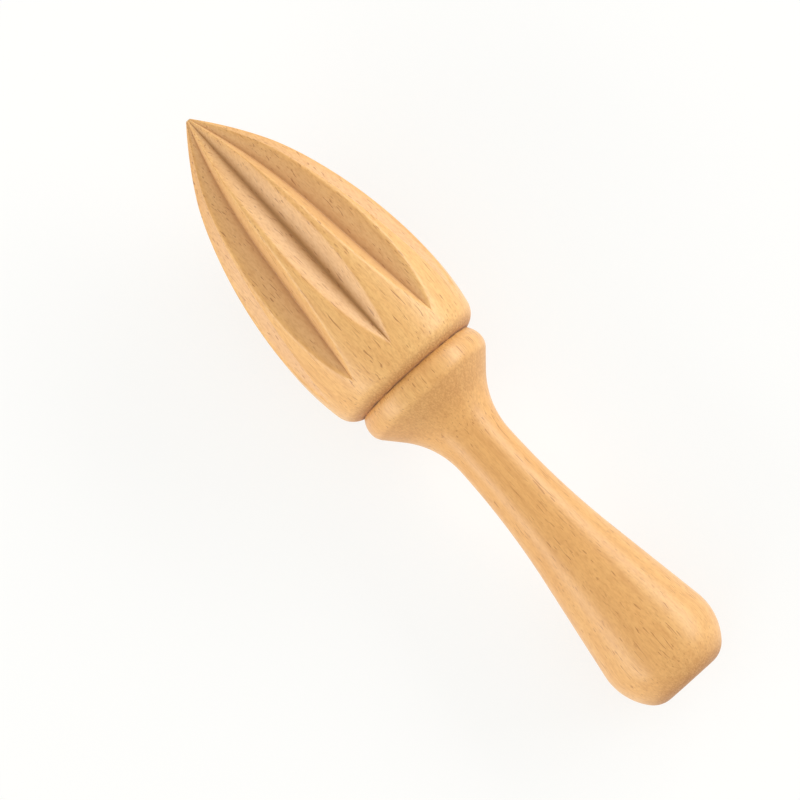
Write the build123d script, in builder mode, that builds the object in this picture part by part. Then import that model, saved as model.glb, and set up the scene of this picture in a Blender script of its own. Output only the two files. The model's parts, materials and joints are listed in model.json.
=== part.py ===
from build123d import *

# Hand citrus reamer in turned beech: a fluted head and a handle, joined by a glued dowel.
#
# The reamer lies on the worktop, with its tip towards -X and its butt towards +X.  Head
# and handle are turned about one axis.  The head is the fatter end, so that axis dips
# towards the butt by just enough for the head's belly and the round butt to touch the
# worktop, Z = 0, together.

import os
from math import asin, atan2, cos, degrees, hypot, radians, sin, sqrt, tan

# ---- Driving dimensions, in millimetres and degrees -------------------------------
# "at" values are distances along the turning axis: from the tip on the head, and from
# the joint on the handle.

# Fluted head
head_length = 72.5  # tip to joint
head_radius = 19.5  # widest ring
base_length = 15.5  # widest ring to joint
tip_radius = 0.7  # the point is turned slightly blunt
nose_radius = 14.0  # where the blunter nose curve runs into the long side curve
nose_at = 23.5
belly_radius = 60.0  # radius of the curve that draws in below the widest ring

# Flutes: V cuts that fan out from the tip
flute_count = 10
flute_angle = 110.0  # opening of the V
flute_run_out = 9.0  # widest ring to where the cut runs out of the side
flute_slope = 10.3  # slope of the straight part of the valley, against the axis
flute_bend_at = 33.5  # where the straight valley begins to bend in to the tip
flute_tip_core = 0.4  # wood left between the valley and the axis at the tip

# Groove and joint
groove_radius = 13.6  # bottom of the groove, and outer edge of the joint faces
dowel_diameter = 10.0
dowel_length = 35.0
dowel_depth_in_head = 19.0
dowel_chamfer = 0.8
glue_groove_count = 8
glue_groove_radius = 0.5
dowel_side_clearance = 0.05  # glue film round the dowel
dowel_end_clearance = 0.5  # air and glue left at the bottom of each bore
bore_rim = 0.6  # width of the countersink at each bore's mouth

# Handle
handle_length = 87.5  # joint to butt face
collar_height = 2.1  # crest of the round collar over the bottom of the groove
collar_crest_at = 3.4
cove_radius = 19.3  # hollow curve from the collar down to the neck
cove_slope = 41.6  # steepest slope on the way down, against the axis
neck_radius = 6.9
grip_slope = 9.4  # slope of the straight part of the grip, against the axis
butt_radius = 13.35  # the round butt is part of a ball of this radius
butt_length = 10.6  # middle of the ball to the flat butt face
butt_edge_round = 5.7  # rounded edge between the ball and the flat face

# ---- Outlines ---------------------------------------------------------------------
# Head: the belly curve and the round base corner are circles that touch.  The corner
# ends square to the joint face, so its centre lies at the groove's radius.
head_widest_at = head_length - base_length
flute_end_at = head_widest_at + flute_run_out
belly_centre_height = belly_radius - head_radius
corner_centre_height = groove_radius + belly_centre_height
base_round = (belly_radius**2 - base_length**2 - corner_centre_height**2) / (
    2 * (belly_radius - base_length)
)
base_turn = atan2(base_length - base_round, corner_centre_height)
base_at = head_widest_at + belly_radius * sin(base_turn)

# Handle: the collar is one circle from the groove over its crest.
collar_radius = groove_radius + collar_height
collar_round = (collar_crest_at**2 + collar_height**2) / (2 * collar_height)
butt_centre_at = handle_length - butt_length

# A straight slope joins the collar's circle to the cove's.  What the two circles don't
# drop, it drops, and the neck's level ring lies where the cove ends.
cove_turn = radians(cove_slope)
cove_reach = collar_round + cove_radius
cove_line_drop = collar_radius - neck_radius - cove_reach * (1 - cos(cove_turn))
neck_at = (
    collar_crest_at + cove_reach * sin(cove_turn) + cove_line_drop / tan(cove_turn)
)

# The grip's straight slope touches the ball of the butt.  The flare is the circle that
# touches both that slope and the neck's level line.
grip_turn = radians(grip_slope)
grip_run = butt_centre_at - neck_at
flare_radius = (
    grip_run * sin(grip_turn) + neck_radius * cos(grip_turn) - butt_radius
) / (1 - cos(grip_turn))

# The butt's edge is a small circle that touches the ball from inside and the flat face.
edge_centre_ahead = butt_length - butt_edge_round
edge_centre_reach = butt_radius - butt_edge_round
butt_face_radius = sqrt(edge_centre_reach**2 - edge_centre_ahead**2)

# ---- How it lies ------------------------------------------------------------------
# The head touches the worktop with its belly curve, and the handle with its round butt.
# Both are circles in the outline.  Their centres are given by distance from the tip, and
# the belly's by its height over the axis, for the side of the outline that lies below.
overall_length = head_length + handle_length
contact_run = head_length + butt_centre_at - head_widest_at
contact_turn = asin((belly_radius - butt_radius) / hypot(contact_run, belly_centre_height))
lie_angle = contact_turn - atan2(belly_centre_height, contact_run)

# The tip stands that much over the worktop, and the origin is under the middle.
tip_height = (
    belly_radius + head_widest_at * sin(lie_angle) - belly_centre_height * cos(lie_angle)
)
tip_overhang = tip_radius * sin(lie_angle)
butt_reach = (
    (overall_length - butt_edge_round) * cos(lie_angle)
    + butt_face_radius * sin(lie_angle)
    + butt_edge_round
)
tip_x = (tip_overhang - butt_reach) / 2

# ---- Planes -----------------------------------------------------------------------
along_axis = Vector(cos(lie_angle), 0, -sin(lie_angle))
square_to_axis = Vector(sin(lie_angle), 0, cos(lie_angle))
tip_point = Vector(tip_x, 0, tip_height)
joint_point = tip_point + along_axis * head_length
turning_axis = Axis(tip_point, along_axis)

# Outlines have x along the axis, from the tip or from the joint, and y as the radius.
head_outline_plane = Plane(origin=tip_point, x_dir=along_axis, z_dir=(0, -1, 0))
handle_outline_plane = Plane(origin=joint_point, x_dir=along_axis, z_dir=(0, -1, 0))

# Square to the axis: at the tip, and at the joint facing each way.
tip_plane = Plane(origin=tip_point, x_dir=square_to_axis, z_dir=along_axis)
joint_facing_handle = Plane(origin=joint_point, x_dir=square_to_axis, z_dir=along_axis)
joint_facing_head = Plane(origin=joint_point, x_dir=square_to_axis, z_dir=-along_axis)


def belly_outline(station):
    """Radius of the head below its widest ring, at a distance from the tip."""
    return sqrt(belly_radius**2 - (station - head_widest_at) ** 2) - belly_centre_height


# ---- Flute cutter -----------------------------------------------------------------
# A V carried along the valley of one flute.  It is drawn about the Z axis, with the tip
# of the head at the origin, and overruns the wood at both ends.
cutter_overrun = 1.0
cutter_reach = head_radius
cutter_half_width = cutter_reach * tan(radians(flute_angle / 2))
cutter_start_at = flute_end_at + cutter_overrun
valley_rise = tan(radians(flute_slope))
valley_start_radius = belly_outline(flute_end_at) + cutter_overrun * valley_rise
valley_bend_radius = valley_start_radius - (cutter_start_at - flute_bend_at) * valley_rise

with BuildPart() as flute_cutter:
    with BuildLine(Plane.XZ) as valley:
        straight = Line(
            (valley_start_radius, cutter_start_at),
            (valley_bend_radius, flute_bend_at),
        )
        bend = TangentArc(straight @ 1, Vector(flute_tip_core, 0, 0), tangent=straight % 1)
        Line(bend @ 1, (bend @ 1) + (bend % 1) * cutter_overrun)
    with BuildSketch(Plane(origin=straight @ 0, x_dir=(0, 1, 0), z_dir=straight % 0)):
        Polygon(
            (0, 0),
            (cutter_half_width, cutter_reach),
            (-cutter_half_width, cutter_reach),
            align=None,
        )
    sweep(path=valley.wire())

# ---- Head -------------------------------------------------------------------------
bore_radius = dowel_diameter / 2 + dowel_side_clearance
bore_rim_radius = bore_radius + bore_rim
bore_rim_angle = 90

with BuildPart() as reamer_head:
    # Turned blank: blunt nose, long side curve, belly and a round corner at the groove.
    with BuildSketch(head_outline_plane):
        with BuildLine():
            tip = (0, tip_radius)
            nose = (nose_at, nose_radius)
            widest = (head_widest_at, head_radius)
            base = (base_at, belly_outline(base_at))
            groove = (head_length, groove_radius)
            side_curve = TangentArc(widest, nose, tangent=(-1, 0))
            TangentArc(nose, tip, tangent=side_curve % 1)
            TangentArc(widest, base, tangent=(1, 0))
            TangentArc(groove, base, tangent=(0, 1))
            Polyline(tip, (0, 0), (head_length, 0), groove)
        make_face()
    revolve(axis=turning_axis)
    # The flutes stand evenly round the axis, one of them on top.
    with Locations(tip_plane):
        with PolarLocations(0, flute_count):
            add(flute_cutter.part, mode=Mode.SUBTRACT)
    with Locations(joint_facing_handle):
        CounterSinkHole(
            radius=bore_radius,
            counter_sink_radius=bore_rim_radius,
            depth=dowel_depth_in_head + dowel_end_clearance,
            counter_sink_angle=bore_rim_angle,
        )

reamer_head.part.label = "reamer_head"

# ---- Handle -----------------------------------------------------------------------
dowel_depth_in_handle = dowel_length - dowel_depth_in_head

with BuildPart() as handle:
    # Turned blank: collar, cove, slim neck and a grip that flares to a round butt.
    with BuildSketch(handle_outline_plane):
        with BuildLine():
            groove = (0, groove_radius)
            crest = (collar_crest_at, collar_radius)
            collar_end = (
                collar_crest_at + collar_round * sin(cove_turn),
                collar_radius - collar_round * (1 - cos(cove_turn)),
            )
            cove_start = (
                neck_at - cove_radius * sin(cove_turn),
                neck_radius + cove_radius * (1 - cos(cove_turn)),
            )
            neck = (neck_at, neck_radius)
            flare_end = (
                neck_at + flare_radius * sin(grip_turn),
                neck_radius + flare_radius * (1 - cos(grip_turn)),
            )
            butt_start = (
                butt_centre_at - butt_radius * sin(grip_turn),
                butt_radius * cos(grip_turn),
            )
            butt_ring = (butt_centre_at, butt_radius)
            butt_edge = (
                butt_centre_at + butt_radius * edge_centre_ahead / edge_centre_reach,
                butt_radius * butt_face_radius / edge_centre_reach,
            )
            butt_face = (handle_length, butt_face_radius)
            ThreePointArc(groove, crest, collar_end)
            Line(collar_end, cove_start)
            TangentArc(neck, cove_start, tangent=(-1, 0))
            TangentArc(neck, flare_end, tangent=(1, 0))
            Line(flare_end, butt_start)
            ThreePointArc(butt_start, butt_ring, butt_edge)
            TangentArc(butt_face, butt_edge, tangent=(0, 1))
            Polyline(butt_face, (handle_length, 0), (0, 0), groove)
        make_face()
    revolve(axis=turning_axis)
    with Locations(joint_facing_head):
        CounterSinkHole(
            radius=bore_radius,
            counter_sink_radius=bore_rim_radius,
            depth=dowel_depth_in_handle + dowel_end_clearance,
            counter_sink_angle=bore_rim_angle,
        )

handle.part.label = "handle"

# ---- Dowel ------------------------------------------------------------------------
dowel_plane = joint_facing_handle.offset(-dowel_depth_in_head)

with BuildPart() as joint_dowel:
    with BuildSketch(dowel_plane):
        Circle(dowel_diameter / 2)
    extrude(amount=dowel_length)
    chamfer(joint_dowel.edges().filter_by(GeomType.CIRCLE), length=dowel_chamfer)
    # Straight grooves let air and surplus glue out of the blind bores.
    with BuildSketch(dowel_plane):
        with PolarLocations(dowel_diameter / 2, glue_groove_count):
            Circle(glue_groove_radius)
    extrude(amount=dowel_length, mode=Mode.SUBTRACT)

joint_dowel.part.label = "joint_dowel"

# ---- Files ------------------------------------------------------------------------
os.makedirs("parts", exist_ok=True)
export_step(reamer_head.part, "parts/reamer_head.step")
export_step(handle.part, "parts/handle.step")
export_step(joint_dowel.part, "parts/joint_dowel.step")

butt_face_point = tip_point + along_axis * overall_length
print(f"the axis dips {degrees(lie_angle):.3f} degrees towards the butt")
print(f"butt face centre {butt_face_point}, facing {along_axis}")
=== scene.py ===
# %% [markdown]
# # A turned citrus reamer
#
# A hand reamer has two turned pieces of beech: a pointed head with ten V-shaped flutes
# and a handle with a collar, a slim neck and a rounded butt.  A hidden dowel joins them.
# We could judge all sizes by eye in the viewport, but the measured solids already fix
# where everything sits.  So we load them first, and every piece that we model here takes
# its place from them.

# %% Load the measured solids
import json
import math

import bmesh
import bpy
from mathutils import Matrix, Vector


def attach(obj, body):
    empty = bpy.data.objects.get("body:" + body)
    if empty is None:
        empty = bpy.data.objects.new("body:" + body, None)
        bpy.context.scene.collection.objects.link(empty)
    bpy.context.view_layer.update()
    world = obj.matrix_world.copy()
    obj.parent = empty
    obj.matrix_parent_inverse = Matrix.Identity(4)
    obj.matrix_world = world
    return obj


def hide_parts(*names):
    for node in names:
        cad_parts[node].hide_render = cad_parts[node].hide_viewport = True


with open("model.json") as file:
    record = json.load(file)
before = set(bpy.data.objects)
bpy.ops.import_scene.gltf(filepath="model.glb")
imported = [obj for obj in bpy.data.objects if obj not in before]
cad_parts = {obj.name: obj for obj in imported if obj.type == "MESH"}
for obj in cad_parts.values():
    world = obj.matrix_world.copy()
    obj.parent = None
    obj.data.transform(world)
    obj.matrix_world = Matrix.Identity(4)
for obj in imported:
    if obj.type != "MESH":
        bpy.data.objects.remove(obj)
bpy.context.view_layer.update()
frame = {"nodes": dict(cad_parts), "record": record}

# %% [markdown]
# ## The turning axis
#
# Everything that comes off a lathe is easiest to model on its own axis.  So the pieces
# are drawn along +X, with the tip at zero, and laid down at the very end.  The record
# tells us where the butt's flat face is and which way it faces.  That direction is the
# axis, and the tip lies one tool's length behind that face.

# %% Turning axis
mm = 0.001
overall_length = 160 * mm
head_length = 72.5 * mm  # tip to joint

butt_face = next(m for m in frame["record"]["mounts"] if m["name"] == "butt_face")
along_axis = Vector(butt_face["axis"]).normalized()
across = Vector((0, 1, 0))
above = along_axis.cross(across)
tip_point = Vector(butt_face["pos_m"]) - along_axis * overall_length


def placed(origin, x_axis, y_axis, z_axis):
    """The matrix that moves a thing to an origin and turns it into three directions."""
    turn = Matrix((x_axis, y_axis, z_axis)).transposed().to_4x4()
    return Matrix.Translation(origin) @ turn


lay_down = placed(tip_point, along_axis, across, above)
print("the tip stands", round(tip_point.z / mm, 1), "mm over the worktop")

# %% [markdown]
# ## Drawing an outline
#
# A turner works to a template: half of the outline, held against the spinning wood.
# Ours is a row of points, each with a distance along the axis and a radius.  We could
# draw it freely with curves, but a turned profile is made of parts of circles that touch
# each other.  So every round stretch is an arc: it leaves one point in a direction that
# we give and arrives at another, and only those ends are typed in.

# %% Outline helpers
same_place = 0.0001 * mm  # points that are closer count as one


def arc(start, direction, end, steps):
    """Points on the arc that leaves start in a direction and arrives at end."""
    start, end = Vector(start), Vector(end)
    forward = Vector(direction).normalized()
    side = Vector((-forward.y, forward.x))
    chord = end - start
    radius = chord.length_squared / (2 * chord.dot(side))
    turn = 2 * math.atan2(chord.dot(side), chord.dot(forward))
    points = []
    for step in range(steps + 1):
        angle = turn * step / steps
        along = forward * (radius * math.sin(angle))
        points.append(start + along + side * (radius * (1 - math.cos(angle))))
    return points


def joined(*stretches):
    """One outline out of several, without doubled points where they meet."""
    outline = [stretches[0][0]]
    for stretch in stretches:
        outline += [p for p in stretch if (p - outline[-1]).length > same_place]
    return outline


quarter = arc((0, 0), (1, 0), (10 * mm, 10 * mm), steps=4)
print("a quarter circle:", [(round(p.x / mm, 1), round(p.y / mm, 1)) for p in quarter])

# %% [markdown]
# ## The head's outline
#
# The template of the head starts at the blunt tip, runs out along a short curve and a
# long one to the widest ring, draws in a little below it, and turns over a round corner
# into the groove.  Behind the groove lie the flat joint face and the bore for the
# dowel, which nobody sees until the two pieces are taken apart.  Glue and finish have
# filled the groove a little, so its floor here is higher than on the bare pieces.
#
# The corner's start could be placed by hand.  A formula is surer: on the bare head the
# corner is part of the circle that touches the belly curve and ends square to the joint
# face.  Our corner leaves the belly at the same point and turns over into the groove as
# it is when it has been filled.

# %% Head outline
head_radius, base_length = 19.5 * mm, 15.5 * mm  # widest ring, and from there to the joint
tip_radius = 0.7 * mm
nose_radius, nose_at = 14.0 * mm, 23.5 * mm
belly_radius = 60.0 * mm
groove_radius, groove_floor = 13.6 * mm, 14.5 * mm  # on the bare pieces, and finished
bore_radius, bore_depth, bore_rim = 5.05 * mm, 19.5 * mm, 0.6 * mm

head_widest_at = head_length - base_length
belly_centre = belly_radius - head_radius
corner_height = groove_radius + belly_centre
base_round = (belly_radius**2 - base_length**2 - corner_height**2) / (
    2 * (belly_radius - base_length)
)
base_turn = math.atan2(base_length - base_round, corner_height)

widest = Vector((head_widest_at, head_radius))
nose = Vector((nose_at, nose_radius))
base = Vector((
    head_widest_at + belly_radius * math.sin(base_turn),
    belly_radius * math.cos(base_turn) - belly_centre,
))
groove = Vector((head_length, groove_floor))

side_curve = arc(widest, (-1, 0), nose, steps=44)
nose_direction = side_curve[-1] - side_curve[-2]
nose_curve = arc(nose, nose_direction, (0, tip_radius), steps=40)
belly_curve = arc(widest, (1, 0), base, steps=26)
corner_curve = arc(base, (math.cos(base_turn), -math.sin(base_turn)), groove, steps=16)
head_outline = joined(nose_curve[::-1], side_curve[::-1], belly_curve, corner_curve)

bore_outline = [
    Vector((head_length, bore_radius + bore_rim)),
    Vector((head_length - bore_rim, bore_radius)),
    Vector((head_length - bore_depth, bore_radius)),
    Vector((head_length - bore_depth, 0)),
]
print("the head's outline has", len(head_outline), "points")

# %% [markdown]
# ## The valley of a flute
#
# On the real head a V-shaped cutter runs down each valley, ten times round.  The valley
# is straight, then bends in towards the tip, and the cut runs out of the side at a
# point.  We could cut with a boolean, but that leaves ragged triangles along the very
# edges that catch the light.  Instead the spun rings will stay, and their points will be
# pressed in.  For that we need to know, at any distance from the tip, how deep the
# valley is and how high its walls reach.

# %% Flute valley
flute_count = 10
half_pitch = math.pi / flute_count  # from a valley to the middle of the land beside it
flute_half_angle = math.radians(55)
flute_end_at, flute_bend_at = 66.0 * mm, 33.5 * mm
flute_slope = math.radians(10.3)
flute_tip_core = 0.4 * mm

past_widest = flute_end_at - head_widest_at
flute_end_radius = math.sqrt(belly_radius**2 - past_widest**2) - belly_centre
straight_run = flute_end_at - flute_bend_at
bend_radius = flute_end_radius - straight_run * math.tan(flute_slope)
valley_bend = Vector((flute_bend_at, bend_radius))
towards_tip = (-math.cos(flute_slope), -math.sin(flute_slope))
valley_curve = arc(valley_bend, towards_tip, (0, flute_tip_core), steps=60)

# Cut square to the axis, a V that was held square to the sloping valley opens less.
section_half_angle = math.atan(math.tan(flute_half_angle) * math.cos(flute_slope))


def valley_radius(station):
    """How far the valley's bottom is from the axis, at a distance from the tip."""
    if station > flute_bend_at:
        return flute_end_radius - (flute_end_at - station) * math.tan(flute_slope)
    for near, far in zip(valley_curve, valley_curve[1:]):
        if far.x <= station:
            share = (near.x - station) / (near.x - far.x)
            return near.y + (far.y - near.y) * share
    return flute_tip_core


def wall_point(valley, rise):
    """Angle and radius of a point on the V's wall, some height above the valley."""
    aside = rise * math.tan(section_half_angle)
    return math.atan2(aside, valley + rise), math.hypot(aside, valley + rise)


def wall_rise(valley, outer):
    """How high the wall reaches before it meets the turned surface or its neighbour."""
    wall_run = math.tan(section_half_angle)
    to_surface = math.sqrt(valley**2 + (1 + wall_run**2) * (outer**2 - valley**2)) - valley
    to_surface /= 1 + wall_run**2
    land_run = math.tan(half_pitch)
    to_neighbour = valley * land_run / (wall_run - land_run)
    return min(to_surface, to_neighbour)


print("at its bend the valley lies", round(valley_bend.y / mm, 2), "mm from the axis")

# %% [markdown]
# ## Columns of points
#
# From a valley to the middle of a land there are thirteen columns of points: the first
# seven climb the wall, one is the edge itself, and the rest cross half of the land.
# Sanding has rounded every real edge.  A bevel would have to find the edges first, and
# near the tip it would run into itself.  So the columns beside an edge keep their
# distance from it, and the edge's own column is drawn in, as in the middle of a bevel.
# Below a flute's end the columns start as a bundle and fan out to even steps.

# %% Columns across a flute
wall_shares = (0.0, 0.03, 0.25, 0.5, 0.75, 0.93, 1.0)
land_shares = (0.0, 0.22, 0.5, 0.78, 1.0)
edge_column = len(wall_shares)
columns = edge_column + len(land_shares)
edge_round = 0.45 * mm  # how far the rounding reaches to each side
wall_limit, land_limit = 0.35, 0.6  # the largest share of a wall or a half land it takes
ridge_width, ridge_limit = 0.12 * mm, 0.05  # half a land where two flutes meet, and its limit
fan_out_length = 4.5 * mm
no_length = 1e-9  # stands in for a wall that has no length at all


def fanned(column, ridge, spread):
    """Angle of a column below a flute, from the bundle at 0 to even steps at 1."""
    bundle = ridge * min(1, column / edge_column)
    if column > edge_column:
        share = (column - edge_column) / (columns - edge_column)
        bundle = ridge + (half_pitch - ridge) * share
    return bundle + (half_pitch * column / columns - bundle) * spread


def fluted(station, outer, column):
    """Angle from the valley, and radius, of one column's point on one ring."""
    ridge = min(ridge_width / outer, half_pitch * ridge_limit)
    if station >= flute_end_at:
        spread = min(1, (station - flute_end_at) / fan_out_length)
        return fanned(column, ridge, spread), outer
    valley = min(valley_radius(station), outer)
    rise = wall_rise(valley, outer)
    edge_angle, edge_radius = wall_point(valley, rise)
    edge_angle = max(min(edge_angle, half_pitch - ridge), ridge)
    wall_length = rise / math.cos(section_half_angle)
    rounding = min(edge_round, wall_length * wall_limit)
    land_start = edge_angle + min(
        rounding / edge_radius, (half_pitch - edge_angle) * land_limit
    )
    wall_end = rise * (1 - rounding / max(wall_length, no_length))
    last_angle, last_radius = wall_point(valley, wall_end)
    if column < edge_column:
        angle, radius = wall_point(valley, wall_end * wall_shares[column])
        return max(angle, ridge * column / columns), min(radius, outer)
    if column == edge_column:
        # Half way between the sharp corner and the middle of its two neighbours.
        angle = (last_angle + 2 * edge_angle + land_start) / 4
        return angle, min((last_radius + 3 * edge_radius) / 4, outer)
    share = land_shares[column - edge_column - 1]
    return land_start + (half_pitch - land_start) * share, min(edge_radius, outer)


print("columns round the head:", 2 * columns * flute_count)

# %% [markdown]
# ## Turning the head's blank
#
# On the lathe the outline is swept round the axis.  The Screw modifier could do that
# too, but bmesh's spin leaves real points that we can still move: it takes a row of
# edges and carries it round in steps.  With `use_merge` the last step is welded to the
# first, so the skin is closed.  We take one step for each column, so every column of
# points already stands in a row along the head.
#
# Three numbers are kept on every point, for the wood material to read later: how much end
# grain shows there, on the faces turned to the butt, whether it is on a flute's wall, and
# whether it is in a flute's bottom.  All three paint shade into the wood's colour: on the
# faces turned to the butt, together with the darker end grain, on the flutes' walls, and
# darker still in their bottoms.

# %% Turn the head's blank
def turn_blank(outline, steps):
    """A bmesh of an outline swept round the X axis."""
    blank = bmesh.new()
    points = [blank.verts.new((p.x, 0, p.y)) for p in outline]
    edges = [blank.edges.new(pair) for pair in zip(points, points[1:])]
    bmesh.ops.spin(
        blank,
        geom=points + edges,
        cent=(0, 0, 0),
        axis=(1, 0, 0),
        angle=math.tau,
        steps=steps,
        use_merge=True,
    )
    for layer in ("butt_facing", "flute_wall_shade", "painted_crease_shade"):
        blank.verts.layers.float.new(layer)
    return blank


head_blank = turn_blank(
    [Vector((0, 0))] + head_outline + bore_outline, steps=2 * columns * flute_count
)
print("the head's blank has", len(head_blank.verts), "points")

# %% [markdown]
# ## Pressing the flutes in
#
# Now each point of the blank looks up its ring and its column, and slides to its place
# on a wall, an edge or a land.  The V's edges run along whole columns that way, so they
# stay clean from end to end.  The walls also get a painted shade, full from a depth of one
# millimetre and fading out in the last columns below the edge, and the first columns of
# the valley get a darker painted shade of their own.

# %% Press the flutes in
full_depth = 1.0 * mm
# Columns over which the painted shade on the walls fades out below the edge.
wall_shade_fade_columns = 3
# How much painted shade the valley's first columns get.
crease_shade_shares = {0: 1.0, 1: 0.95, 2: 0.3}  # how dark the first columns are
on_ring = 0.001 * mm  # a point this close to a ring's radius lies on that ring


def press_flutes(blank, outline):
    """Slides the points of a blank's outer rings into the flutes."""
    ring_of = {round(p.x, 7): p.y for p in outline}
    painted_crease_shade, flute_wall_shade = (blank.verts.layers.float[layer] for layer in ("painted_crease_shade", "flute_wall_shade"))
    moved = 0
    for point in blank.verts:
        station, outer = point.co.x, math.hypot(point.co.y, point.co.z)
        known = ring_of.get(round(station, 7))
        if known is None or abs(known - outer) > on_ring:
            continue  # not on the outside: the tip's pole or the bore
        turn = math.atan2(point.co.y, point.co.z) % math.tau
        position = round(turn / (half_pitch / columns))
        flute, column = divmod(position + columns, 2 * columns)
        column -= columns
        angle, radius = fluted(station, outer, abs(column))
        angle = flute * 2 * half_pitch + math.copysign(angle, column)
        point.co.y, point.co.z = radius * math.sin(angle), radius * math.cos(angle)
        # Painted shade: the walls darker the deeper they are cut, fading out below the edge,
        # and the valley's first columns darker still.
        if station < flute_end_at:
            depth = min(1, (outer - valley_radius(station)) / full_depth)
            fade = (edge_column - 1 - abs(column)) / wall_shade_fade_columns
            point[flute_wall_shade] = depth * max(0, min(1, fade))
            point[painted_crease_shade] = depth * crease_shade_shares.get(abs(column), 0)
        moved += 1
    return moved


print("points of the outer rings:", press_flutes(head_blank, head_outline))

# %% [markdown]
# ## Building a material with code
#
# Beech is pale, warm and very even.  What gives it away are thousands of short, dark
# flecks: thin rays of cells that the surface cuts across.  They follow the grain, so on
# a turned side they are dashes, and where the outline rounds over onto end grain they
# shrink to dots.  A picture of wood would need unwrapping and would stretch over the
# round ends.  A pattern in space needs neither: we stretch it along the grain and let
# the surface cut through it, just as the gouge does.  These helpers add a node or two.

# %% Node helpers
def node(tree, kind, inputs=None, **settings):
    """Adds a node.  An input is either another node's output or a plain value."""
    made = tree.nodes.new(kind)
    for key, value in settings.items():
        setattr(made, key, value)
    for key, value in (inputs or {}).items():
        if isinstance(value, bpy.types.NodeSocket):
            tree.links.new(value, made.inputs[key])
        else:
            made.inputs[key].default_value = value
    return made


def noise(tree, place, grains, offset, detail=2.0, roughness=0.5):
    """Noise with a number of grains per metre in each direction, around 0.5."""
    stretched = node(
        tree, "ShaderNodeMapping", {"Vector": place, "Scale": grains, "Location": offset}
    )
    settings = {"Scale": 1.0, "Detail": detail, "Roughness": roughness}
    settings["Vector"] = stretched.outputs["Vector"]
    return node(tree, "ShaderNodeTexNoise", settings).outputs["Fac"]


def ramp(tree, value, low, high, least=0.0, most=1.0):
    """Stretches the range from low to high over the range from least to most."""
    limits = {"From Min": low, "From Max": high, "To Min": least, "To Max": most}
    made = node(
        tree, "ShaderNodeMapRange", {"Value": value, **limits}, interpolation_type="SMOOTHSTEP"
    )
    return made.outputs["Result"]


def calc(tree, operation, first, second=0.0):
    """The result of a sum with one or two numbers."""
    return node(tree, "ShaderNodeMath", {0: first, 1: second}, operation=operation).outputs[0]


def mixed(tree, amount, first, second):
    """Goes from the first colour to the second.  A Mix node has them at 6 and 7."""
    inputs = {0: amount, 6: first, 7: second}
    return node(tree, "ShaderNodeMix", inputs, data_type="RGBA").outputs[2]


print("helpers:", [helper.__name__ for helper in (node, noise, ramp, calc, mixed)])

# %% [markdown]
# ## Where the grain runs
#
# A turned piece's grain runs along its axis, but the finished reamer lies at a slant on
# the worktop.  We could turn the whole pattern by eye.  It is surer to undo the laying
# down: a Mapping node of the texture kind takes each point back to where it was on the
# lathe, with x along the grain and y and z across it.
#
# The growth rings are thin shells round the pith of the tree, which lay some way beside
# the blank.  Cut through lengthwise, they show as faint, wavy bands.

# %% Grain directions
pith_place = (0, 34 * mm, -47 * mm)
ring_stretch = (0.06, 1, 1)  # the rings barely narrow along the grain
ring_density, ring_wobble = 2300.0, 11.0  # radians per metre, and radians
wobble_grain = (18, 70, 70)


def bench_place(tree):
    """Where a point was on the lathe: x from the tip along the grain, y and z across."""
    seen = node(tree, "ShaderNodeTexCoord").outputs["Object"]
    bench = node(tree, "ShaderNodeMapping", {"Vector": seen}, vector_type="TEXTURE")
    bench.inputs["Location"].default_value = tip_point
    bench.inputs["Rotation"].default_value = lay_down.to_euler()
    return bench.outputs["Vector"]


def growth_rings(tree, place, offset):
    """Light and dark rings round a pith some way beside the blank."""
    shifted = node(tree, "ShaderNodeVectorMath", {0: place, 1: pith_place}, operation="ADD")
    stretched = node(
        tree,
        "ShaderNodeVectorMath",
        {0: shifted.outputs[0], 1: ring_stretch},
        operation="MULTIPLY",
    )
    from_pith = node(
        tree, "ShaderNodeVectorMath", {0: stretched.outputs[0]}, operation="LENGTH"
    ).outputs["Value"]
    wobble = calc(tree, "MULTIPLY", noise(tree, place, wobble_grain, offset), ring_wobble)
    turns = calc(tree, "MULTIPLY", from_pith, ring_density)
    return calc(tree, "SINE", calc(tree, "ADD", turns, wobble))


print("a growth ring every", round(math.tau / ring_density / mm, 1), "mm")

# %% [markdown]
# ## The colours of beech
#
# From large to small, the recipe lays on: a slow drift of tone along the board, the
# growth rings, fine streaks and hairlines.  The walls of the flutes get a painted shade,
# darker and less golden.  A grainy speckle goes over all of it.  The faces that turn to
# the butt go darker: partly end grain, which drinks more oil, and partly painted shade.
# The bottoms of the flutes get a darker painted shade.  All this could be painted on by
# hand, but then each piece would need its own painting, and with a recipe the three
# pieces can come out of one tree.
#
# A grain's three numbers say how many of it fit in a metre, along the fibres and twice
# across them.  So a streak is about 4 cm long and just over a millimetre wide.

# %% Beech colours
pale_beech = (0.865, 0.525, 0.19, 1)
warm_beech = (0.79, 0.415, 0.13, 1)
dark_beech = (0.56, 0.25, 0.06, 1)
# Painted shade for the flute walls.
wall_shade_beech = (0.735, 0.435, 0.19, 1)
# Painted shade for the flute bottoms, and for the faces turned to the butt, where it is also
# the darker end grain.
end_grain_and_shade_brown = (0.42, 0.175, 0.04, 1)
fleck_brown = (0.34, 0.115, 0.02, 1)
groove_brown = (0.25, 0.105, 0.035, 1)

drift_grain, streak_grain = (14, 60, 60), (26, 800, 800)
hairline_grain, speckle_grain = (55, 2600, 2600), (700, 2600, 2600)

# How far each layer goes towards its colour.
drift_share, ring_share = 0.6, 0.3
streak_share, hairline_share, speckle_share = 0.35, 0.4, 0.4
# How far the painted shade goes on the flute walls and in their bottoms.
wall_shade_share, crease_shade_share = 0.7, 0.75


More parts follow.
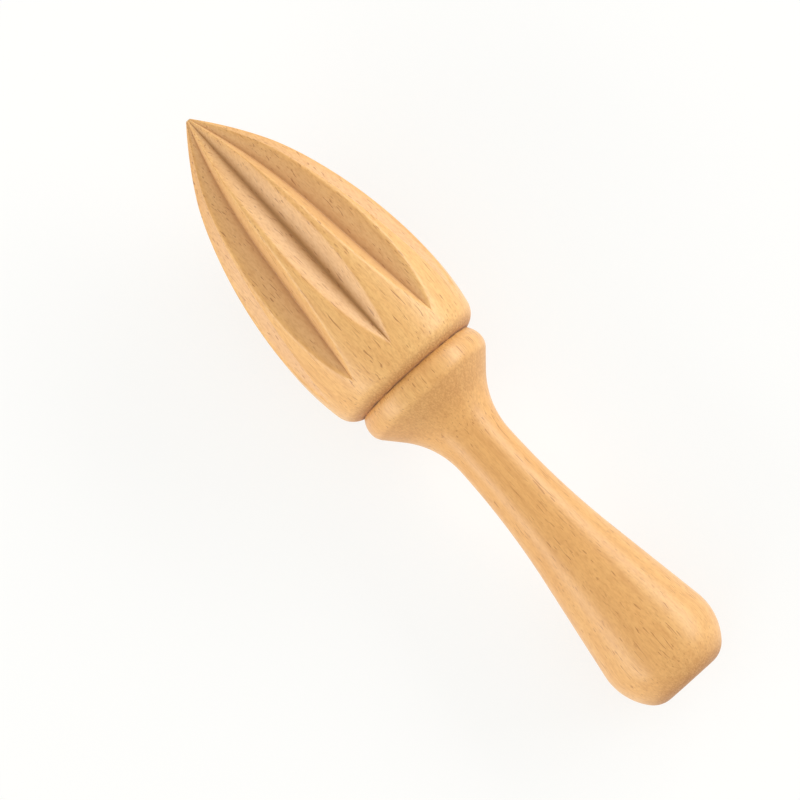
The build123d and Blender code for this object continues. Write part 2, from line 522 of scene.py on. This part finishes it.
def grown_tone(tree, place, offset, warmth, tan):
    """The colours that grew in the wood."""
    drift = noise(tree, place, drift_grain, offset, detail=3.0)
    drift = ramp(tree, drift, 0.3, 0.7, warmth, warmth + drift_share)
    tone = mixed(tree, drift, pale_beech, warm_beech)
    rings = ramp(tree, growth_rings(tree, place, offset), -0.2, 1.0, most=ring_share)
    tone = mixed(tree, rings, tone, warm_beech)
    streak = noise(tree, place, streak_grain, offset, detail=4.0, roughness=0.6)
    streak = ramp(tree, streak, 0.40, 0.75, tan, tan + streak_share)
    tone = mixed(tree, streak, tone, dark_beech)
    hairline = noise(tree, place, hairline_grain, offset, detail=1.0)
    hairline = ramp(tree, hairline, 0.60, 0.74, most=hairline_share)
    return mixed(tree, hairline, tone, dark_beech)


def on_points(tree, layer):
    """The number that a mesh keeps on its points under this name."""
    return node(tree, "ShaderNodeAttribute", attribute_name=layer).outputs["Fac"]


def worked_tone(tree, tone, speckle, end_grain_and_shade):
    """Painted shade on the flute walls and in their bottoms, the speckle, and end grain with
    painted shade on the faces turned to the butt.
    """
    # Painted shade on the flute walls.
    flute_wall_shade = calc(tree, "MULTIPLY", on_points(tree, "flute_wall_shade"), wall_shade_share)
    tone = mixed(tree, flute_wall_shade, tone, wall_shade_beech)
    tone = mixed(tree, ramp(tree, speckle, 0.38, 0.72, most=speckle_share), tone, dark_beech)
    # Painted shade in the bottoms of the flutes.
    painted_crease_shade = calc(tree, "MULTIPLY", on_points(tree, "painted_crease_shade"), crease_shade_share)
    tone = mixed(tree, painted_crease_shade, tone, end_grain_and_shade_brown)
    # End grain and painted shade on the faces turned to the butt.
    return mixed(tree, end_grain_and_shade, tone, end_grain_and_shade_brown)


print("a streak is about", round(1000 / streak_grain[0]), "mm long")

# %% [markdown]
# ## Flecks, and the line in the groove
#
# The flecks are the high spots of a noise that is very fine across the grain.  A second,
# coarser noise picks some of them to be darker, because real rays are not cut at the
# same depth.  They could be a scatter of small meshes, but there are thousands, and they
# lie in the surface, not on it.
#
# At the joint, oil and dust have drawn a thin, broken brown line into the groove.  It
# sits at one distance along the axis, so the same bench coordinates find it.

# %% Flecks and groove line
ray_grain, choice_grain = (180, 3200, 3200), (130, 1100, 1100)
faint_fleck = 0.05
broken_grain = (300, 450, 450)
line_core, line_reach = 0.05 * mm, 0.3 * mm  # full colour, and where it has faded


def ray_flecks(tree, place, offset, butt_facing, depth):
    """How dark the flecks are at each point: dashes, some deeper, fainter on the ends."""
    rays = ramp(tree, noise(tree, place, ray_grain, offset, detail=0.0), 0.67, 0.71)
    choice = noise(tree, place, choice_grain, offset, detail=1.0)
    fleck = calc(tree, "MULTIPLY", rays, ramp(tree, choice, 0.38, 0.70, faint_fleck, depth))
    return calc(tree, "MULTIPLY", fleck, ramp(tree, butt_facing, 0.3, 0.65, 1.0, 0.35))


def groove_line(tree, place, offset):
    """The broken line that marks the joint."""
    station = node(tree, "ShaderNodeSeparateXYZ", {0: place}).outputs["X"]
    off_joint = calc(tree, "ABSOLUTE", calc(tree, "SUBTRACT", station, head_length))
    line = ramp(tree, off_joint, line_core, line_reach, 1.0, 0.0)
    broken = noise(tree, place, broken_grain, offset, detail=3.0)
    return calc(tree, "MULTIPLY", line, ramp(tree, broken, 0.4, 0.6, 0.05, 0.9))


print("the groove's line is", round(2 * line_reach / mm, 1), "mm wide")

# %% [markdown]
# ## Oil on beech, and the three pieces
#
# The surface is oiled: a soft sheen that the fibres break up and end grain dulls.  A
# little velvet on top stands for the finest fibres, which pale the wood where it turns
# out of sight.  A full displacement would show nothing more at this size, so a weak bump
# is enough for fibres and flecks.
#
# One recipe serves all three pieces.  The offset takes each of them from another place
# in the tree, and the handle is a little warmer and more streaky than the head.

# %% Beech material
fibre_grain = (150, 5000, 5000)
fibre_gloss, end_dullness = 0.07, 0.35


def oiled(tree, shader, place, offset, shine, end_grain_and_shade, fleck):
    """Roughness, velvet and bump of oiled wood."""
    fibre = noise(tree, place, fibre_grain, offset, detail=3.0)
    dullness = calc(
        tree,
        "ADD",
        ramp(tree, fibre, 0.2, 0.8, -fibre_gloss, fibre_gloss),
        calc(tree, "MULTIPLY", end_grain_and_shade, end_dullness),
    )
    tree.links.new(calc(tree, "ADD", dullness, shine), shader.inputs["Roughness"])
    shader.inputs["Specular IOR Level"].default_value = 0.6
    shader.inputs["Sheen Weight"].default_value = 0.1
    shader.inputs["Sheen Roughness"].default_value = 0.5
    raised, sunk = calc(tree, "MULTIPLY", fibre, 0.5), calc(tree, "MULTIPLY", fleck, 0.5)
    height = calc(tree, "SUBTRACT", raised, sunk)
    bump = node(
        tree, "ShaderNodeBump", {"Height": height, "Strength": 0.3, "Distance": 0.05 * mm}
    )
    tree.links.new(bump.outputs["Normal"], shader.inputs["Normal"])


def beech(name, offset, warmth=0.1, tan=0.0, fleck_depth=0.7, shine=0.38):
    """A beech material.  Warmth and tan deepen its tone, and shine is its roughness."""
    material = bpy.data.materials.new(name)
    material.use_nodes = True
    tree = material.node_tree
    shader = tree.nodes["Principled BSDF"]
    place = bench_place(tree)
    butt_facing = on_points(tree, "butt_facing")
    speckle = noise(tree, place, speckle_grain, offset, detail=2.0, roughness=0.6)
    # Where the faces turn to the butt: end grain, and painted shade.
    end_grain_and_shade = calc(
        tree,
        "MULTIPLY",
        ramp(tree, butt_facing, 0.4, 1.0),
        ramp(tree, speckle, 0.3, 0.6, 0.55, 1.0),
    )
    tone = worked_tone(tree, grown_tone(tree, place, offset, warmth, tan), speckle, end_grain_and_shade)
    fleck = ray_flecks(tree, place, offset, butt_facing, fleck_depth)
    tone = mixed(tree, fleck, tone, fleck_brown)
    tone = mixed(tree, groove_line(tree, place, offset), tone, groove_brown)
    tree.links.new(tone, shader.inputs["Base Color"])
    oiled(tree, shader, place, offset, shine, end_grain_and_shade, fleck)
    return material


head_beech = beech("head_beech", (0.0, 0.0, 0.0))
handle_beech = beech("handle_beech", (3.1, 7.7, 5.3), warmth=0.3, tan=0.14)
dowel_beech = beech("dowel_beech", (9.0, 2.0, 1.0), fleck_depth=0.5, shine=0.7)
print("materials:", [m.name for m in bpy.data.materials])

# %% [markdown]
# ## Laying the head down
#
# The blank becomes an object in a few moves.  Points on the axis were swept onto
# themselves, and welding them closes the poles.  While the piece still lies along X, its
# normals tell where the surface cuts across the fibres: the more a normal points along X,
# towards the butt, the more end grain shows there and the more shade is painted there, and
# that number is noted.  Then the piece is laid on the worktop.  We move its points and not
# its object, because the object has to stay at the origin, as the measured solids do.

# %% Finish the head
weld_distance = 0.001 * mm


def finish_piece(blank, name, material):
    """Closes the poles, lays the piece down and makes it an object that rides along."""
    bmesh.ops.remove_doubles(blank, verts=blank.verts, dist=weld_distance)
    bmesh.ops.recalc_face_normals(blank, faces=blank.faces)
    blank.normal_update()
    butt_facing = blank.verts.layers.float["butt_facing"]
    # How far each point faces the butt, for its end grain and its painted shade.
    for point in blank.verts:
        point[butt_facing] = point.normal.x
    bmesh.ops.transform(blank, matrix=lay_down, verts=blank.verts)
    for face in blank.faces:
        face.smooth = True
    mesh = bpy.data.meshes.new(name)
    blank.to_mesh(mesh)
    blank.free()
    mesh.materials.append(material)
    piece = bpy.data.objects.new(name, mesh)
    bpy.context.collection.objects.link(piece)
    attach(piece, "root")
    print(name, "has", len(mesh.polygons), "faces")
    return piece


reamer = finish_piece(head_blank, "fluted_head", head_beech)
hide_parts("reamer_head")

# %% [markdown]
# ## The handle's curves
#
# The handle is plain turning: a round collar against the groove, a hollow cove that
# sweeps down to the slim neck, a long hollow flare, and a butt that is part of a ball.
# Between two of these circles the outline runs straight, along the line that touches
# both.  We could shift points until it looks smooth.  A short formula for that line's
# slope is exact, so every joint in the curve is smooth.

# %% Handle sizes and slopes
handle_length = overall_length - head_length
collar_radius, collar_crest_at = 15.7 * mm, 3.4 * mm
cove_radius, flare_radius = 19.3 * mm, 180.0 * mm
neck_radius, neck_at = 6.9 * mm, 22.1 * mm
butt_radius, butt_length, butt_edge_round = 13.35 * mm, 10.6 * mm, 5.7 * mm
handle_bore_depth = 16.5 * mm
butt_centre_at = handle_length - butt_length
collar_fall = collar_radius - groove_radius
collar_round = (collar_crest_at**2 + collar_fall**2) / (2 * collar_fall)


def slope_between(low_radius, high_radius, run, rise):
    """Angle of the line that rests on a low circle and touches a high one from below."""
    return math.asin((low_radius + high_radius) / math.hypot(run, rise)) - math.atan2(rise, run)


cove_slope = slope_between(
    collar_round,
    cove_radius,
    neck_at - collar_crest_at,
    (neck_radius + cove_radius) - (collar_radius - collar_round),
)
grip_slope = slope_between(
    butt_radius, flare_radius, butt_centre_at - neck_at, neck_radius + flare_radius
)
print("cove slope", round(math.degrees(cove_slope), 1), "degrees")
print("grip slope", round(math.degrees(grip_slope), 1), "degrees")

# %% [markdown]
# ## Turning the handle
#
# With both slopes known, every end of an arc is a point on a circle.  The outline starts
# and ends on the axis, at the bottom of the dowel's bore and in the middle of the butt,
# so the spun skin is closed.  It has no flutes, so even steps of two degrees are enough
# to keep its outline round.

# %% Turn the handle
handle_steps = 180
grip_points = 12


def from_joint(station, radius):
    return Vector((head_length + station, radius))


def on_circle(centre_at, centre_radius, circle, lean):
    """The point of a circle whose radius leans that far from the square, towards the butt."""
    return from_joint(
        centre_at + circle * math.sin(lean), centre_radius + circle * math.cos(lean)
    )


crest = from_joint(collar_crest_at, collar_radius)
collar_end = on_circle(
    collar_crest_at, collar_radius - collar_round, collar_round, cove_slope
)
cove_start = on_circle(neck_at, neck_radius + cove_radius, -cove_radius, cove_slope)
neck = from_joint(neck_at, neck_radius)
flare_end = on_circle(neck_at, neck_radius + flare_radius, -flare_radius, -grip_slope)
butt_start = on_circle(butt_centre_at, 0, butt_radius, -grip_slope)
butt_ring = from_joint(butt_centre_at, butt_radius)
butt_turn = math.asin((butt_length - butt_edge_round) / (butt_radius - butt_edge_round))
butt_edge = on_circle(butt_centre_at, 0, butt_radius, butt_turn)
butt_face_radius = (butt_radius - butt_edge_round) * math.cos(butt_turn)
butt_face_ring = from_joint(handle_length, butt_face_radius)

handle_outline = [
    from_joint(handle_bore_depth, 0),
    from_joint(handle_bore_depth, bore_radius),
    from_joint(bore_rim, bore_radius),
    from_joint(0, bore_radius + bore_rim),
]
handle_outline += joined(
    arc(crest, (-1, 0), groove, steps=12)[::-1],
    arc(crest, (1, 0), collar_end, steps=10),
    arc(neck, (-1, 0), cove_start, steps=24)[::-1],
    arc(neck, (1, 0), flare_end, steps=20),
    [flare_end.lerp(butt_start, point / grip_points) for point in range(grip_points + 1)],
    arc(butt_ring, (-1, 0), butt_start, steps=4)[::-1],
    arc(butt_ring, (1, 0), butt_edge, steps=14),
    arc(butt_face_ring, (0, 1), butt_edge, steps=14)[::-1],
)
handle_outline.append(from_joint(handle_length, 0))
print("the handle's outline has", len(handle_outline), "points")

handle_blank = turn_blank(handle_outline, handle_steps)
handle = finish_piece(handle_blank, "turned_handle", handle_beech)
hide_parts("handle")

# %% [markdown]
# ## The dowel
#
# The dowel is bought in, straight and grooved for glue.  We could spin one too, but it
# is hidden, and the measured solid already has its shape.  So the solid stays, and only
# gets its wood.

# %% Dowel
dowel = frame["nodes"]["joint_dowel"]
for index in range(len(dowel.data.materials)):
    dowel.data.materials[index] = dowel_beech
print("the dowel keeps its solid,", len(dowel.data.polygons), "faces")

# %% [markdown]
# ## The paper under it
#
# The reamer lies on a plain white sweep.  Its picture should be white right up to the
# edges, but more light would bleach the wood as well.  So three quarters of what the
# camera sees of the paper is a plain white that doesn't spread to the wood, and the rest
# is lit.  The paper looks white that way and still carries a soft shadow.  Mirrored rays
# see the same white, so the gloss on the wood fits its surroundings.

# %% Floor
floor_half_width = 3.0
paper_colour = (0.97, 0.965, 0.945, 1)
plain_white = (1, 1, 0.985, 1)
white_share = 0.75

floor_blank = bmesh.new()
bmesh.ops.create_grid(floor_blank, x_segments=1, y_segments=1, size=floor_half_width)
floor_mesh = bpy.data.meshes.new("floor")
floor_blank.to_mesh(floor_mesh)
floor_blank.free()
floor = bpy.data.objects.new("floor", floor_mesh)
bpy.context.collection.objects.link(floor)

paper = bpy.data.materials.new("paper")
paper.use_nodes = True
paper_tree = paper.node_tree
paper_shader = paper_tree.nodes["Principled BSDF"]
paper_shader.inputs["Base Color"].default_value = paper_colour
paper_shader.inputs["Roughness"].default_value = 0.9
paper_shader.inputs["Specular IOR Level"].default_value = 0.1


def seen_directly(tree):
    """1 for rays from the camera, and for rays mirrored or let through by a surface."""
    rays = node(tree, "ShaderNodeLightPath")
    seen = calc(tree, "MAXIMUM", rays.outputs["Is Camera Ray"], rays.outputs["Is Glossy Ray"])
    return calc(tree, "MAXIMUM", seen, rays.outputs["Is Transmission Ray"])


glow_share = calc(paper_tree, "MULTIPLY", seen_directly(paper_tree), white_share)
glow = node(paper_tree, "ShaderNodeEmission", {"Color": plain_white})
blend = node(
    paper_tree,
    "ShaderNodeMixShader",
    {0: glow_share, 1: paper_shader.outputs[0], 2: glow.outputs[0]},
)
paper_output = paper_tree.nodes["Material Output"]
paper_tree.links.new(blend.outputs[0], paper_output.inputs["Surface"])
floor_mesh.materials.append(paper)
print("the floor is", 2 * floor_half_width, "m wide")

# %% [markdown]
# ## Lamps
#
# Flutes show when their two walls get different amounts of light.  One lamp overhead
# would fill them all alike, and a small one would draw hard shadows.  So two broad soft
# lamps stand low on either side, and what faces up is a little darker than what is
# turned to a lamp.

# %% Lamps
aim_point = Vector((0, 0, 16 * mm))


def soft_lamp(name, place, width, height, power):
    """A rectangular lamp that looks at the middle of the reamer."""
    data = bpy.data.lights.new(name, "AREA")
    data.shape = "RECTANGLE"
    data.size, data.size_y = width, height
    data.energy = power
    lamp = bpy.data.objects.new(name, data)
    lamp.location = place
    aim = aim_point - Vector(place)
    lamp.rotation_euler = aim.to_track_quat("-Z", "Y").to_euler()
    bpy.context.collection.objects.link(lamp)
    print(name, "shines with", power, "W")


soft_lamp("lamp_far_side", (0.05, 0.90, 0.38), width=1.3, height=0.45, power=7.6)
soft_lamp("lamp_near_side", (0.0, -0.90, 0.34), width=1.3, height=0.4, power=5.5)

# %% [markdown]
# ## Light from all around
#
# White walls and a ceiling would fill the shadows of a real studio.  We don't build
# them: the world is an even light from every side.  It lights the wood at two thirds of
# full white, and what is seen directly, past the edge of the paper, is white itself.

# %% World
ambient_level = 0.66

world = bpy.data.worlds.new("studio")
bpy.context.scene.world = world
world.use_nodes = True
sky = world.node_tree
background = sky.nodes["Background"]
level = calc(sky, "MAXIMUM", seen_directly(sky), ambient_level)
sky.links.new(level, background.inputs["Strength"])
background.inputs["Color"].default_value = plain_white
print("ambient light at", ambient_level)

# %% [markdown]
# ## Camera
#
# The photograph looks almost straight down, from far away, with the reamer running from
# the top left to the bottom right.  A constraint could aim the camera, but it doesn't
# know how far to roll it.  So we work out the camera's three directions: away from the
# reamer, leaning a few degrees to the butt and to the near side, then right and up,
# rolled round it.  The lens comes from its focal length in pixels of the picture.

# %% Camera
lean_to_butt, lean_to_near_side = math.radians(7.5), math.radians(1.2)
camera_roll = math.radians(47.9)
camera_distance = 1.403
picture_width = 800
focal_pixels = 6607.7
aim_off_centre = Vector((40.3, -0.8))  # pixels from the picture's middle to the aim point
sensor_width = 36  # millimetres, as the lens

away = Vector((math.tan(lean_to_butt), -math.tan(lean_to_near_side), 1)).normalized()
level_right = (Vector((1, 0, 0)) - away * away.x).normalized()
level_up = away.cross(level_right)
right = level_right * math.cos(camera_roll) + level_up * math.sin(camera_roll)
up = away.cross(right)

camera_place = aim_point + away * camera_distance
metres_per_pixel = camera_distance / focal_pixels
target = aim_point - right * aim_off_centre.x * metres_per_pixel
target -= up * aim_off_centre.y * metres_per_pixel
view_back = (camera_place - target).normalized()
view_right = (right - view_back * right.dot(view_back)).normalized()
view_up = view_back.cross(view_right)

camera_data = bpy.data.cameras.new("camera")
camera_data.sensor_width = sensor_width
camera_data.lens = focal_pixels / picture_width * sensor_width
camera_data.clip_end = 20
camera = bpy.data.objects.new("camera", camera_data)
bpy.context.collection.objects.link(camera)
camera.matrix_world = placed(camera_place, view_right, view_up, view_back)
bpy.context.scene.camera = camera
bpy.context.scene.view_settings.view_transform = "Standard"
print("the camera's lens is", round(camera_data.lens), "mm")
